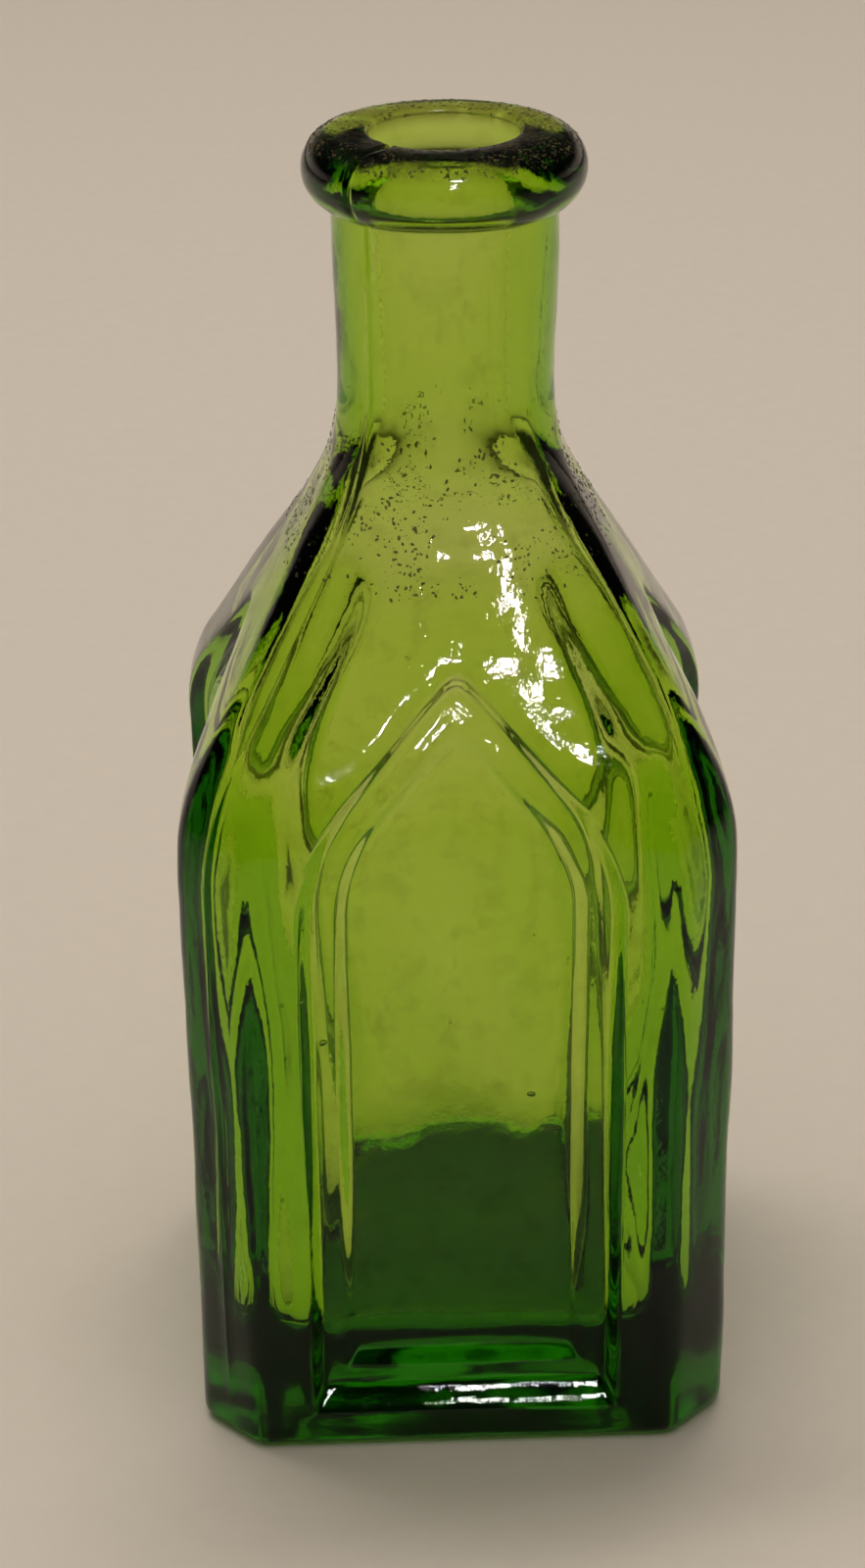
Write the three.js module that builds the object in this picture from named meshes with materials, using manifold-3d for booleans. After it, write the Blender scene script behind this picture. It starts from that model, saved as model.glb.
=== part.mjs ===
// A small square glass bottle for tonic, blown in a mould.
// The front and both flanks carry a two-step recessed panel with a pointed arch, which bends back
// with the shoulder. The back is plain.
// Millimetres, +Z up, origin at the centre of the base, front face towards -Y.

import * as THREE from 'three';
import { mergeVertices } from 'three/addons/utils/BufferGeometryUtils.js';
import Module from 'manifold-3d';

const wasm = await Module();
wasm.setup();

// Overall heights
const TOTAL_HEIGHT = 76;
const LIP_HEIGHT = 4;

// Body
const BODY_WIDTH = 31.5;
const CORNER_LEG = 3.3;
const EDGE_ROUND = 1.8;
const HEEL_ROUND = 0.9;
const PUSH_UP_RADIUS = 9.5;
const PUSH_UP_DEPTH = 0.4;

// Shoulder: the heights at which the straight slope would meet the body and the neck
const SHOULDER_Z = 40.45;
const SHOULDER_ROUND = 10.6;
const NECK_Z = 57.9;
const NECK_FLARE = 16.3;
const FACET_FADE = 0.4;

// Neck and lip
const NECK_RADIUS = 6.06;
const NECK_TOP_RADIUS = 6.24;
const BORE_RADIUS = 3.4;
const MOUTH_RADIUS = 4.15;
const MOUTH_TAPER = 13;
const LIP_RADIUS = 7.84;
const LIP_BEAD_HALF_WIDTH = 1.9;
const LIP_STEP = 0.2;
const MOUTH_ROUND = 0.4;

// Inside
const BASE_THICKNESS = 5.1;
const SIDE_WALL = 4.15;
const INSIDE_CORNER_ROUND = 3.5;
const INSIDE_FLOOR_ROUND = 3;
const INSIDE_SHOULDER_RISE = 3.6;
const INSIDE_NECK_RISE = 1.6;
const INSIDE_ROUND = 8;

// Arched panel: the outer step, and the inner step set inside it by a band of even width
const PANEL_HALF_WIDTH = 9.15;
const PANEL_SILL_Z = 2.65;
const PANEL_HAUNCH_Z = 39.6;
const PANEL_APEX_Z = 49.45;
const PANEL_HAUNCH_ROUND = 10.5;
const PANEL_DEPTH = 1.2;
const PANEL_BEVEL = 0.75;
const BAND_WIDTH = 2.3;
const BAND_SILL_RISE = 2.35;
const INNER_DEPTH = 0.45;
const INNER_BEVEL = 0.4;

// How finely curves are divided
const STEPS_PER_CORNER = 4;
const CORNERS = 8;
const NECK_SIDES = STEPS_PER_CORNER * CORNERS;
const HEEL_STEPS = 3;
const ROUND_STEPS = 5;
const BEAD_STEPS = 14;
const MOUTH_STEPS = 4;

// How far a cut runs past the surface that it opens
const CUT_PAST = 0.4;

// Quarter turns from the front to each side that carries a panel
const PANELLED_SIDES = [0, 1, 3];

const HALF_WIDTH = BODY_WIDTH / 2;
const CORNER_DISTANCE = (BODY_WIDTH - CORNER_LEG) / Math.SQRT2;
const LIP_SEAT_Z = TOTAL_HEIGHT - LIP_HEIGHT;
const MOUTH_Z = TOTAL_HEIGHT - MOUTH_ROUND;

const GLASS_GREEN = 0x5c8a1c;

// Evenly spaced values from first to last, both included
function spread(first, last, steps) {
  const values = [];
  for (let i = 0; i <= steps; i += 1) {
    values.push(first + ((last - first) * i) / steps);
  }
  return values;
}

// Half-width against height: upright body, convex arc, straight slope, concave arc, upright neck
class ShoulderLine {
  constructor({ body, neck, bodyZ, neckZ, bodyRound, neckRound }) {
    this.body = body;
    this.neck = neck;
    this.bodyRound = bodyRound;
    this.neckRound = neckRound;
    this.angle = Math.atan2(body - neck, neckZ - bodyZ);
    const half = Math.tan(this.angle / 2);
    this.bodyZ = bodyZ;
    this.arcStart = bodyZ - bodyRound * half;
    this.slopeStart = bodyZ + bodyRound * half * Math.cos(this.angle);
    this.slopeEnd = neckZ - neckRound * half * Math.cos(this.angle);
    this.arcEnd = neckZ + neckRound * half;
  }

  at(z) {
    if (z <= this.arcStart) {
      return this.body;
    }
    if (z <= this.slopeStart) {
      const rise = z - this.arcStart;
      return this.body - this.bodyRound + Math.sqrt(this.bodyRound ** 2 - rise ** 2);
    }
    if (z <= this.slopeEnd) {
      return this.body - (z - this.bodyZ) * Math.tan(this.angle);
    }
    if (z <= this.arcEnd) {
      const drop = this.arcEnd - z;
      return this.neck + this.neckRound - Math.sqrt(this.neckRound ** 2 - drop ** 2);
    }
    return this.neck;
  }

  heights() {
    return [
      ...spread(this.arcStart, this.slopeStart, ROUND_STEPS),
      ...spread(this.slopeEnd, this.arcEnd, ROUND_STEPS),
    ];
  }
}

// Level outline of an octagon with rounded corners
// face is the distance of the four main sides from the axis, corner that of the four cut corners
function roundedOctagon(face, corner, round, z) {
  const innerFace = Math.max(face - round, 0);
  const innerCorner = Math.min(corner - round, innerFace * Math.SQRT2);
  const short = Math.max(innerCorner * Math.SQRT2 - innerFace, 0);
  const centres = [
    [innerFace, short],
    [short, innerFace],
  ];
  const ring = [];
  for (let k = 0; k < CORNERS; k += 1) {
    const quarter = Math.floor(k / 2) * (Math.PI / 2);
    const [cx, cy] = centres[k % 2];
    const x = cx * Math.cos(quarter) - cy * Math.sin(quarter);
    const y = cx * Math.sin(quarter) + cy * Math.cos(quarter);
    const start = (k * 2 * Math.PI) / CORNERS;
    for (const turn of spread(start, start + (2 * Math.PI) / CORNERS, STEPS_PER_CORNER)) {
      ring.push(new THREE.Vector3(x + round * Math.cos(turn), y + round * Math.sin(turn), z));
    }
  }
  return ring;
}

// Closed skin through level rings that all have the same number of points
function loft(rings) {
  const count = rings[0].length;
  const positions = rings.flatMap((ring) => ring.flatMap((point) => point.toArray()));
  const index = [];
  for (let level = 0; level + 1 < rings.length; level += 1) {
    for (let i = 0; i < count; i += 1) {
      const a = level * count + i;
      const b = level * count + ((i + 1) % count);
      index.push(a, b, b + count);
      index.push(a, b + count, a + count);
    }
  }
  const top = (rings.length - 1) * count;
  for (let i = 1; i + 1 < count; i += 1) {
    index.push(0, i + 1, i);
    index.push(top, top + i, top + i + 1);
  }
  const geometry = new THREE.BufferGeometry();
  geometry.setAttribute('position', new THREE.Float32BufferAttribute(positions, 3));
  geometry.setIndex(index);
  return geometry;
}

// Closed geometry as a solid that can be cut
function solid(geometry) {
  const bare = geometry.clone();
  bare.deleteAttribute('normal');
  bare.deleteAttribute('uv');
  const merged = mergeVertices(bare);
  const index = merged.index.array;
  const triangles = [];
  for (let i = 0; i < index.length; i += 3) {
    const [a, b, c] = [index[i], index[i + 1], index[i + 2]];
    if (a !== b && b !== c && c !== a) {
      triangles.push(a, b, c);
    }
  }
  return new wasm.Manifold(
    new wasm.Mesh({
      numProp: 3,
      vertProperties: new Float32Array(merged.attributes.position.array),
      triVerts: new Uint32Array(triangles),
    }),
  );
}

// Solid back to geometry
function skinOf(body) {
  const mesh = body.getMesh();
  const geometry = new THREE.BufferGeometry();
  geometry.setAttribute('position', new THREE.BufferAttribute(new Float32Array(mesh.vertProperties), 3));
  geometry.setIndex(new THREE.BufferAttribute(new Uint32Array(mesh.triVerts), 1));
  geometry.computeVertexNormals();
  return geometry;
}

// Solid turned from a half profile given as radius and height
function turned(profile) {
  const geometry = new THREE.LatheGeometry(profile, NECK_SIDES);
  geometry.rotateX(Math.PI / 2);
  return geometry;
}

const faceLine = new ShoulderLine({
  body: HALF_WIDTH,
  neck: NECK_RADIUS,
  bodyZ: SHOULDER_Z,
  neckZ: NECK_Z,
  bodyRound: SHOULDER_ROUND,
  neckRound: NECK_FLARE,
});

const cornerLine = new ShoulderLine({
  body: CORNER_DISTANCE,
  neck: NECK_RADIUS,
  bodyZ: SHOULDER_Z,
  neckZ: NECK_Z,
  bodyRound: SHOULDER_ROUND,
  neckRound: NECK_FLARE,
});

const insideLine = new ShoulderLine({
  body: HALF_WIDTH - SIDE_WALL,
  neck: BORE_RADIUS,
  bodyZ: SHOULDER_Z + INSIDE_SHOULDER_RISE,
  neckZ: NECK_Z + INSIDE_NECK_RISE,
  bodyRound: INSIDE_ROUND,
  neckRound: INSIDE_ROUND,
});

// Level outline of the outside, whose edges soften into the round of the neck
function outsideRing(z) {
  const face = faceLine.at(z);
  const share = (face - NECK_RADIUS) / (HALF_WIDTH - NECK_RADIUS);
  const crisp = Math.sqrt(THREE.MathUtils.clamp(share / FACET_FADE, 0, 1));
  const round = NECK_RADIUS + (EDGE_ROUND - NECK_RADIUS) * crisp;
  return roundedOctagon(face, cornerLine.at(z), round, z);
}

// Body, shoulder and neck as one lofted outside
function outside() {
  const rings = [];
  for (const turn of spread(0, Math.PI / 2, HEEL_STEPS)) {
    const inset = HEEL_ROUND * (1 - Math.sin(turn));
    const z = HEEL_ROUND * (1 - Math.cos(turn));
    const round = Math.max(EDGE_ROUND - inset, 0);
    rings.push(roundedOctagon(HALF_WIDTH - inset, CORNER_DISTANCE - inset, round, z));
  }
  const heights = [...faceLine.heights(), cornerLine.arcStart, cornerLine.arcEnd];
  heights.sort((low, high) => low - high);
  for (const z of heights) {
    rings.push(outsideRing(z));
  }
  rings.push(roundedOctagon(NECK_TOP_RADIUS, NECK_TOP_RADIUS, NECK_TOP_RADIUS, LIP_SEAT_Z));
  return solid(loft(rings));
}

// Level outline of the hollow: a rounded square that becomes the round bore
function insideRing(face, z) {
  const share = (face - BORE_RADIUS) / (insideLine.body - BORE_RADIUS);
  const round = BORE_RADIUS + (INSIDE_CORNER_ROUND - BORE_RADIUS) * share;
  const corner = (face - round) * Math.SQRT2 + round;
  return roundedOctagon(face, corner, round, z);
}

// The bore widens evenly towards the mouth
function boreRadius(z) {
  const share = THREE.MathUtils.clamp((z - MOUTH_Z) / MOUTH_TAPER + 1, 0, 1);
  return BORE_RADIUS + (MOUTH_RADIUS - BORE_RADIUS) * share;
}

// Hollow from the thick base up through the neck
function hollow() {
  const rings = [];
  for (const turn of spread(0, Math.PI / 2, HEEL_STEPS)) {
    const inset = INSIDE_FLOOR_ROUND * (1 - Math.sin(turn));
    const z = BASE_THICKNESS + INSIDE_FLOOR_ROUND * (1 - Math.cos(turn));
    rings.push(insideRing(insideLine.body - inset, z));
  }
  for (const z of insideLine.heights()) {
    rings.push(insideRing(insideLine.at(z), z));
  }
  for (const z of [MOUTH_Z - MOUTH_TAPER, LIP_SEAT_Z + CUT_PAST]) {
    const radius = boreRadius(z);
    rings.push(roundedOctagon(radius, radius, radius, z));
  }
  return solid(loft(rings));
}

// Shallow dish in the underside, so that the bottle stands on its rim
function pushUp() {
  const domeRadius = (PUSH_UP_RADIUS ** 2 + PUSH_UP_DEPTH ** 2) / (2 * PUSH_UP_DEPTH);
  const profile = [new THREE.Vector2(0, -CUT_PAST), new THREE.Vector2(PUSH_UP_RADIUS, -CUT_PAST)];
  for (const radius of spread(PUSH_UP_RADIUS, 0, HEEL_STEPS)) {
    const height = PUSH_UP_DEPTH - domeRadius + Math.sqrt(domeRadius ** 2 - radius ** 2);
    profile.push(new THREE.Vector2(radius, height));
  }
  return solid(turned(profile));
}

// Half-width of a pointed arch against height: upright jamb, rounded haunch, straight rafter
class ArchLine {
  constructor({ jamb, haunchZ, apexZ, round }) {
    this.jamb = jamb;
    this.apexZ = apexZ;
    this.round = round;
    this.angle = Math.atan2(jamb, apexZ - haunchZ);
    const reach = round * Math.tan(this.angle / 2);
    this.arcStart = haunchZ - reach;
    this.arcEnd = haunchZ + reach * Math.cos(this.angle);
  }

  at(z) {
    if (z <= this.arcStart) {
      return this.jamb;
    }
    if (z <= this.arcEnd) {
      const rise = z - this.arcStart;
      return this.jamb - this.round + Math.sqrt(this.round ** 2 - rise ** 2);
    }
    return (this.apexZ - z) * Math.tan(this.angle);
  }

  // Height on the rafter at which the arch has this half-width
  heightOf(halfWidth) {
    return this.apexZ - halfWidth / Math.tan(this.angle);
  }
}

const outerArch = new ArchLine({
  jamb: PANEL_HALF_WIDTH,
  haunchZ: PANEL_HAUNCH_Z,
  apexZ: PANEL_APEX_Z,
  round: PANEL_HAUNCH_ROUND,
});

// The inner arch runs parallel to the outer one
const innerArch = new ArchLine({
  jamb: PANEL_HALF_WIDTH - BAND_WIDTH,
  haunchZ: PANEL_HAUNCH_Z - BAND_WIDTH * Math.tan(outerArch.angle / 2),
  apexZ: PANEL_APEX_Z - BAND_WIDTH / Math.sin(outerArch.angle),
  round: Math.max(PANEL_HAUNCH_ROUND - BAND_WIDTH, INNER_BEVEL),
});

// Cutter for one step of the front panel, with bevelled sides and a sill at 45 degrees
// start is how deep below the bottle's face the step begins
function panelStep(arch, sillZ, start, depth, bevel) {
  const lean = bevel / depth;
  const meetZ = arch.heightOf(bevel);
  const past = CUT_PAST / 2;
  const heights = [
    sillZ - past,
    sillZ + depth,
    faceLine.arcStart,
    ...spread(arch.arcStart, arch.arcEnd, ROUND_STEPS),
    ...spread(faceLine.arcStart, faceLine.slopeStart, ROUND_STEPS).slice(1),
    meetZ,
    arch.heightOf(-past * lean),
  ];
  heights.sort((low, high) => low - high);
  const rings = heights.map((z) => {
    const halfWidth = arch.at(z);
    const cut = Math.min(depth, z - sillZ, halfWidth / lean);
    const face = faceLine.at(z) - start;
    const floorHalf = Math.max(halfWidth - cut * lean, 0);
    const openHalf = halfWidth + CUT_PAST * lean;
    return [
      new THREE.Vector3(-openHalf, -face - CUT_PAST, z),
      new THREE.Vector3(openHalf, -face - CUT_PAST, z),
      new THREE.Vector3(floorHalf, -face + cut, z),
      new THREE.Vector3(-floorHalf, -face + cut, z),
    ];
  });
  return loft(rings);
}

function bottleBody() {
  const outerStep = panelStep(outerArch, PANEL_SILL_Z, 0, PANEL_DEPTH, PANEL_BEVEL);
  const innerSillZ = PANEL_SILL_Z + BAND_SILL_RISE;
  const innerStep = panelStep(innerArch, innerSillZ, PANEL_DEPTH, INNER_DEPTH, INNER_BEVEL);
  let body = outside().subtract(hollow()).subtract(pushUp());
  for (const side of PANELLED_SIDES) {
    const turn = (side * Math.PI) / 2;
    body = body.subtract(solid(outerStep.clone().rotateZ(turn)));
    body = body.subtract(solid(innerStep.clone().rotateZ(turn)));
  }
  return skinOf(body);
}

// Ring of glass round the mouth, seated on the end of the neck
function lipRing() {
  const halfHeight = LIP_HEIGHT / 2;
  const beadCentre = LIP_RADIUS - LIP_BEAD_HALF_WIDTH;
  const seatRadius = NECK_TOP_RADIUS + LIP_STEP;
  const lowTurn = -Math.acos((seatRadius - beadCentre) / LIP_BEAD_HALF_WIDTH);
  const profile = [
    new THREE.Vector2(boreRadius(LIP_SEAT_Z), LIP_SEAT_Z),
    new THREE.Vector2(seatRadius, LIP_SEAT_Z),
  ];
  for (const turn of spread(lowTurn, Math.PI / 2, BEAD_STEPS)) {
    const radius = beadCentre + LIP_BEAD_HALF_WIDTH * Math.cos(turn);
    const height = LIP_SEAT_Z + halfHeight + halfHeight * Math.sin(turn);
    profile.push(new THREE.Vector2(radius, height));
  }
  for (const turn of spread(0, Math.PI / 2, MOUTH_STEPS)) {
    const radius = MOUTH_RADIUS + MOUTH_ROUND * (1 - Math.sin(turn));
    const height = MOUTH_Z + MOUTH_ROUND * Math.cos(turn);
    profile.push(new THREE.Vector2(radius, height));
  }
  profile.push(profile[0].clone());
  return skinOf(solid(turned(profile)));
}

function glass() {
  return new THREE.MeshStandardMaterial({
    color: GLASS_GREEN,
    roughness: 0.08,
    metalness: 0,
    transparent: true,
    opacity: 0.6,
  });
}

function piece(name, geometry) {
  const mesh = new THREE.Mesh(geometry, glass());
  mesh.name = name;
  return mesh;
}

const bottle = new THREE.Group();
bottle.name = 'tonic_bottle';
bottle.add(piece('bottle_body', bottleBody()));
bottle.add(piece('lip_ring', lipRing()));

export default bottle;
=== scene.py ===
"""A small square tonic bottle of olive-green glass, blown in a mould, standing open on a pale floor."""
import math

import bpy
import numpy as np
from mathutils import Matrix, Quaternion, Vector


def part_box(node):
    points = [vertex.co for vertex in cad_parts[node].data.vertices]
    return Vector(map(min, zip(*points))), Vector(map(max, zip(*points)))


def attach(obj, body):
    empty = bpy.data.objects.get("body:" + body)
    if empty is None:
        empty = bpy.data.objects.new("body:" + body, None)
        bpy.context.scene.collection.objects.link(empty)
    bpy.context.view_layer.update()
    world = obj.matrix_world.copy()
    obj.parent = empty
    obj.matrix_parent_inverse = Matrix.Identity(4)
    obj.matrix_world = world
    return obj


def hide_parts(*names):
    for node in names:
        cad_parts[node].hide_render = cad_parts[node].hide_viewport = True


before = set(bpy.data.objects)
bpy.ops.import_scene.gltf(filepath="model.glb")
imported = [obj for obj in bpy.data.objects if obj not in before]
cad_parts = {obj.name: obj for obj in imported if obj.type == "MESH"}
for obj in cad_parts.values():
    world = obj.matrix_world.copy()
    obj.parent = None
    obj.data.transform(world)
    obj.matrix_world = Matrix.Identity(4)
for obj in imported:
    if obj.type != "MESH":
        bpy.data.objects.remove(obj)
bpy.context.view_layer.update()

MM = 0.001
TINY = 1e-12

# Sizes that the frame gives
BODY_LOW, BODY_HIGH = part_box("bottle_body")
LIP_LOW, LIP_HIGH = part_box("lip_ring")
HALF_WIDTH = (BODY_HIGH.x - BODY_LOW.x) / 2
SEAT_Z = LIP_LOW.z
TOP_Z = LIP_HIGH.z
LIP_RADIUS = (LIP_HIGH.x - LIP_LOW.x) / 2

# Body and shoulder
CORNER_LEG = 3.3 * MM
CORNER_DISTANCE = (2 * HALF_WIDTH - CORNER_LEG) / math.sqrt(2)
EDGE_ROUND = 1.8 * MM
LEAST_EDGE_ROUND = 0.1 * MM
HEEL_ROUND = 0.9 * MM
PUSH_UP_RADIUS = 9.5 * MM
PUSH_UP_DEPTH = 0.4 * MM
SHOULDER_Z = 40.45 * MM
SHOULDER_ROUND = 10.6 * MM
NECK_Z = 57.9 * MM
NECK_FLARE = 16.3 * MM
FACET_FADE = 0.4
FACET_BULGE = 0.25 * MM
FACET_BULGE_RISE = 4.0 * MM
FACET_BULGE_FALL = 3.0 * MM

# Neck and lip
NECK_RADIUS = 6.06 * MM
NECK_TOP_RADIUS = 6.24 * MM
MOUTH_RADIUS = 4.15 * MM
BORE_RADIUS = 3.4 * MM
MOUTH_TAPER = 13.0 * MM
LIP_BEAD_HALF_WIDTH = 1.9 * MM
LIP_STEP = 0.2 * MM
MOUTH_ROUND = 0.25 * MM

# Rings of the small step under the lip: how far out from the neck, how far up from the seat
STEP_OUT = np.array([0.0, 0.02, 0.12]) * MM
STEP_UP = np.array([-0.1, 0.0, 0.04]) * MM

# Inside
BASE_THICKNESS = 5.1 * MM
SIDE_WALL = 4.15 * MM
INSIDE_CORNER_ROUND = 3.5 * MM
INSIDE_FLOOR_ROUND = 3.0 * MM
INSIDE_SHOULDER_RISE = 3.6 * MM
INSIDE_NECK_RISE = 1.6 * MM
INSIDE_ROUND = 8.0 * MM

# Cut corners of the hollow in the shoulder
INSIDE_CORNER_CUT = 1.0 * MM
CUT_CRISPNESS = 0.55
CUT_RISE = 5.0 * MM
CUT_FALL = 6.0 * MM
CUT_TOP_Z = NECK_Z - 2.0 * MM

# Belly of the hollow's sides
SIDE_BELLY = 0.7 * MM
BELLY_HALF_WIDTH = 9.0 * MM
BELLY_LOW_Z = 18.0 * MM
BELLY_RISE = 14.0 * MM
BELLY_TOP_Z = 45.0 * MM
BELLY_FALL = 6.0 * MM

# Arched panel
PANEL_HALF_WIDTH = 9.15 * MM
PANEL_SILL_Z = 2.65 * MM
PANEL_HAUNCH_Z = 39.6 * MM
PANEL_APEX_Z = 49.45 * MM
PANEL_HAUNCH_ROUND = 10.5 * MM
PANEL_DEPTH = 1.2 * MM
PANEL_BEVEL = 0.75 * MM
BAND_WIDTH = 2.1 * MM
BAND_SILL_RISE = 2.35 * MM
INNER_DEPTH = 0.6 * MM
INNER_BEVEL = 0.65 * MM
INNER_SILL_RUN = 1.0 * MM
POINT_ROUND = 0.7 * MM
BEVEL_SOFTNESS = 6.0
MITRE_SOFTNESS = 6.0

# The sides in turn are the front, the right flank, the back and the left flank; the back is plain
SIDES = 4
PANELLED_SIDES = (0, 1, 3)

# Mould seam along two opposite corners, which becomes a fold in the lip a little beside it
SEAM_HEIGHT = 0.07 * MM
SEAM_WIDTH = 0.16 * MM
FOLD_DEPTH = 0.16 * MM
FOLD_TURN = math.radians(-2)
FOLD_START_Z = 68.5 * MM
FOLD_RUN = 1.0 * MM
FOLD_FADE = 2.0 * MM

# Uneven surface of blown glass: height, length and seed of its waves
OUTSIDE_WAVES = ((0.06 * MM, 9.0 * MM, 11), (0.008 * MM, 2.4 * MM, 12))
INSIDE_WAVES = ((0.22 * MM, 9.0 * MM, 21), (0.05 * MM, 3.5 * MM, 22))
INSIDE_STRETCH = 0.3
WAVES_SUMMED = 7
WAVE_LENGTH_SPREAD = (0.7, 1.4)

# How much calmer the waves are in the lip and the bore, and how far each change runs
HEEL_CALM_RUN = 4.0 * MM
LIP_CALM = 0.75
LIP_CALM_RUN = 1.0 * MM
BORE_CALM = 0.85
BORE_CALM_RUN = 12.0 * MM

# Upright streaks in the corners of the hollow
STREAK_HEIGHT = 0.28 * MM
STREAK_LENGTH = 3.2 * MM
STREAK_SEED = 31
STREAK_STRETCH = 0.12
STREAK_CORNER_START = 0.5
STREAK_CORNER_RUN = 0.25
STREAK_FOOT_RUN = 4.0 * MM
STREAK_TOP_Z = SHOULDER_Z + 6.0 * MM
STREAK_TOP_RUN = 8.0 * MM

# Columns of the mesh from the middle of a side to the middle of a corner
FIELD_COLUMNS = 6
BEVEL_COLUMNS = 8
BAND_COLUMNS = 3
MARGIN_COLUMNS = 4
ROUND_COLUMNS = 4
CORNER_SHARES = np.array([0.5, 0.84, 0.94, 1.0])
EDGE_REACH = 0.17 * MM
TIP_SPACING = 0.06 * MM

# Rows of the mesh, which are closer at the sill and the arch
SILL_ROWS_LOW_Z = 2.2 * MM
SILL_ROWS_TOP_Z = 6.2 * MM
ARCH_ROWS_LOW_Z = 35.0 * MM
ARCH_ROWS_TOP_Z = 50.2 * MM
NECK_ROWS_TOP_Z = SEAT_Z - 0.2 * MM
HEEL_ROW_STEP = 0.4 * MM
SILL_ROW_STEP = 0.14 * MM
JAMB_ROW_STEP = 0.8 * MM
ARCH_ROW_STEP = 0.22 * MM
SHOULDER_ROW_STEP = 0.42 * MM
NECK_ROW_STEP = 0.6 * MM
INSIDE_ROW_STEP = 1.2 * MM
INSIDE_SHOULDER_ROW_STEP = 0.6 * MM
BORE_ROW_STEP = 1.0 * MM
HEEL_ROWS = 6
BEAD_ROWS = 26
MOUTH_EDGE_ROWS = 6
INSIDE_FLOOR_ROWS = 6
DISH_SHARES = np.linspace(0.05, 0.96, 12)
INSIDE_FLOOR_SHARES = np.linspace(0.92, 0.05, 10)

# Glass: how it bends light, the colour of its depth, the tints of its surface; the underside's green tint
# is painted shade
GLASS_IOR = 1.5
GLASS_COLOUR = (0.728, 0.884, 0.01, 1.0)
GLASS_DENSITY = 500.0
GLASS_MIRROR = (0.42, 0.42, 0.42, 1.0)
CLEAR_TINT = (0.985, 0.96, 1.0, 1.0)
# Painted shade: a green tint on the underside that makes the base look darker and greener
UNDERSIDE_SHADE_TINT = (0.45, 1.0, 0.28, 1.0)
GRIME_TINT = (0.34, 0.27, 0.16, 1.0)

# Marks on the glass: sizes, the noise values between which patches appear, and heights
PEBBLE_SIZE = 1.1 * MM
PEBBLE_HEIGHT = 0.04 * MM
PEBBLE_STRENGTH = 0.3
GRAIN_SIZE = 0.35 * MM
GRAIN_SHARE = 0.4
FILM_SIZE = 6.0 * MM
FILM_PATCHES = (0.55, 0.8)
GRIME_SIZE = 1.5 * MM
GRIME_PATCHES = (0.25, 0.55)
GRIME_LOW_Z = TOP_Z - 1.2 * MM
GRIME_FULL_Z = TOP_Z - 0.2 * MM
GRIME_STAIN = 0.95
SMUDGE_SIZE = 2.5 * MM
SMUDGE_PATCHES = (0.56, 0.72)
SMUDGE_STAIN = 0.22
# Heights over which the underside is worn rougher and also tinted with painted shade
WEAR_AND_SHADE_FULL_Z = 0.4 * MM
WEAR_AND_SHADE_TOP_Z = 0.8 * MM

# Roughness of the glass, and what each mark adds to it
CLEAR_ROUGHNESS = 0.01
FILM_ROUGHNESS = 0.05
GRIME_ROUGHNESS = 0.2
WORN_ROUGHNESS = 0.08

# Dirt and bubbles
DIRT_DARK = (0.045, 0.035, 0.013, 1.0)
DIRT_LIGHT = (0.14, 0.11, 0.04, 1.0)
DIRT_TONE_SIZE = 1.5 * MM
DIRT_TONES = (0.35, 0.65)
SHOULDER_DIRT_LOW_Z = 52.0 * MM
SHOULDER_DIRT_TOP_Z = 60.0 * MM
LIP_DIRT_LOW_Z = TOP_Z - 0.8 * MM
SEED_COLOUR = (1.0, 1.0, 1.0, 1.0)
SEED_GRAIN_SIZE = 0.4 * MM
SEED_ROUGHNESS = 0.02
SEEDS_LOW_Z = 8.0 * MM
SEEDS_ROW_STEP = 1.0 * MM
PATCH_EDGE = 0.25
LUMP_NARROWNESS = 0.6

# Floor and room
PAPER_DARK = (0.60, 0.525, 0.445, 1.0)
PAPER_LIGHT = (0.64, 0.56, 0.475, 1.0)
PAPER_FIBRE_SIZE = 2.0 * MM
FLOOR_RADIUS = 3.0
FLOOR_SIDES = 96
FLOOR_DROP = 0.02 * MM
DIM_ROOM = (0.02, 0.019, 0.018, 1.0)
PALE_WALL = (0.55, 0.46, 0.37, 1.0)
WALL_TURN = (-0.1, 0.5)
WALL_TOP = (0.06, 0.24)

# Colours of the lamps and the windows, where they face, and the turn of two windows
WARM = (1.0, 0.96, 0.90)
COOL = (1.0, 0.98, 0.95)
LAMP_TARGET = Vector((0, 0, 0.03))
SLANT = math.radians(45)

# Camera, fitted to the photograph
IMAGE_LONG_SIDE = 1600
FOCAL_PIXELS = 3281.9
SENSOR = 36.0
CAMERA_PLACE = Vector((-5.81, -170.9, 121.8)) * MM
CAMERA_AIM = Vector((0.0248, 0.8945, -0.4465))
CAMERA_ROLL = math.radians(-0.731)
CLIP_START = 1.0 * MM
CLIP_END = 20.0


def smooth_step(share):
    """Rises smoothly from 0 to 1."""
    share = np.clip(share, 0, 1)
    return share * share * (3 - 2 * share)


class ShoulderLine:
    """Distance from the axis against height: upright body, round shoulder, slope, flare, upright neck."""

    def __init__(self, body, neck, body_z, neck_z, body_round, neck_round):
        self.body = body
        self.neck = neck
        self.body_z = body_z
        self.body_round = body_round
        self.neck_round = neck_round
        self.angle = math.atan2(body - neck, neck_z - body_z)
        half = math.tan(self.angle / 2)
        self.arc_start = body_z - body_round * half
        self.slope_start = body_z + body_round * half * math.cos(self.angle)
        self.slope_end = neck_z - neck_round * half * math.cos(self.angle)
        self.arc_end = neck_z + neck_round * half

    def at(self, z):
        """Distance from the axis at each height."""
        rise = np.clip(z - self.arc_start, 0, self.body_round)
        drop = np.clip(self.arc_end - z, 0, self.neck_round)
        shoulder = self.body - self.body_round + np.sqrt(self.body_round**2 - rise**2)
        slope = self.body - (z - self.body_z) * math.tan(self.angle)
        flare = self.neck + self.neck_round - np.sqrt(self.neck_round**2 - drop**2)
        upper = np.where(z <= self.slope_end, slope, flare)
        return np.where(z <= self.slope_start, shoulder, upper)


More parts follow.
